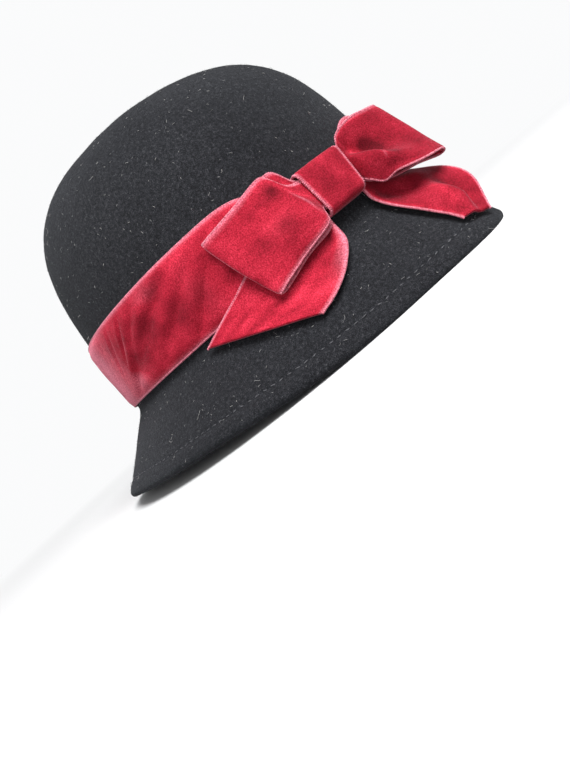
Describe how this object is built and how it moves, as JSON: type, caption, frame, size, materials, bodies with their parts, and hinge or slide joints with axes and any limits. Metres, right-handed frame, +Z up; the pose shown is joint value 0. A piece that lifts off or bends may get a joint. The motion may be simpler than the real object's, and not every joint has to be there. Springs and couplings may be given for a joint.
{
  "type": "cloche hat",
  "caption": "Round-crowned felt cloche hat with a short flared brim, a wide velvet ribbon band and a flat velvet bow at the front right.",
  "frame": {"origin": "On the surface the hat rests on, under the middle of the brim's outline.", "axes": "+Z up through the crown, -Y is the front of the hat, +X is the wearer's left."},
  "size_m": [0.2244, 0.2618, 0.1527],
  "materials": {
    "felt_body": "matt black wool felt with a short nap",
    "ribbon_band": "raspberry red cotton velvet ribbon",
    "bow_knot": "raspberry red cotton velvet ribbon",
    "bow_loop_right": "raspberry red cotton velvet ribbon",
    "bow_loop_left": "raspberry red cotton velvet ribbon",
    "bow_tail_right": "raspberry red cotton velvet ribbon",
    "bow_tail_left": "raspberry red cotton velvet ribbon"
  },
  "bodies": {
    "root": {"felt_body": "felt_body", "ribbon_band": "ribbon_band", "bow_knot": "bow_knot", "bow_loop_right": "bow_loop_right", "bow_loop_left": "bow_loop_left", "bow_tail_right": "bow_tail_right", "bow_tail_left": "bow_tail_left"}
  },
  "joints": []
}
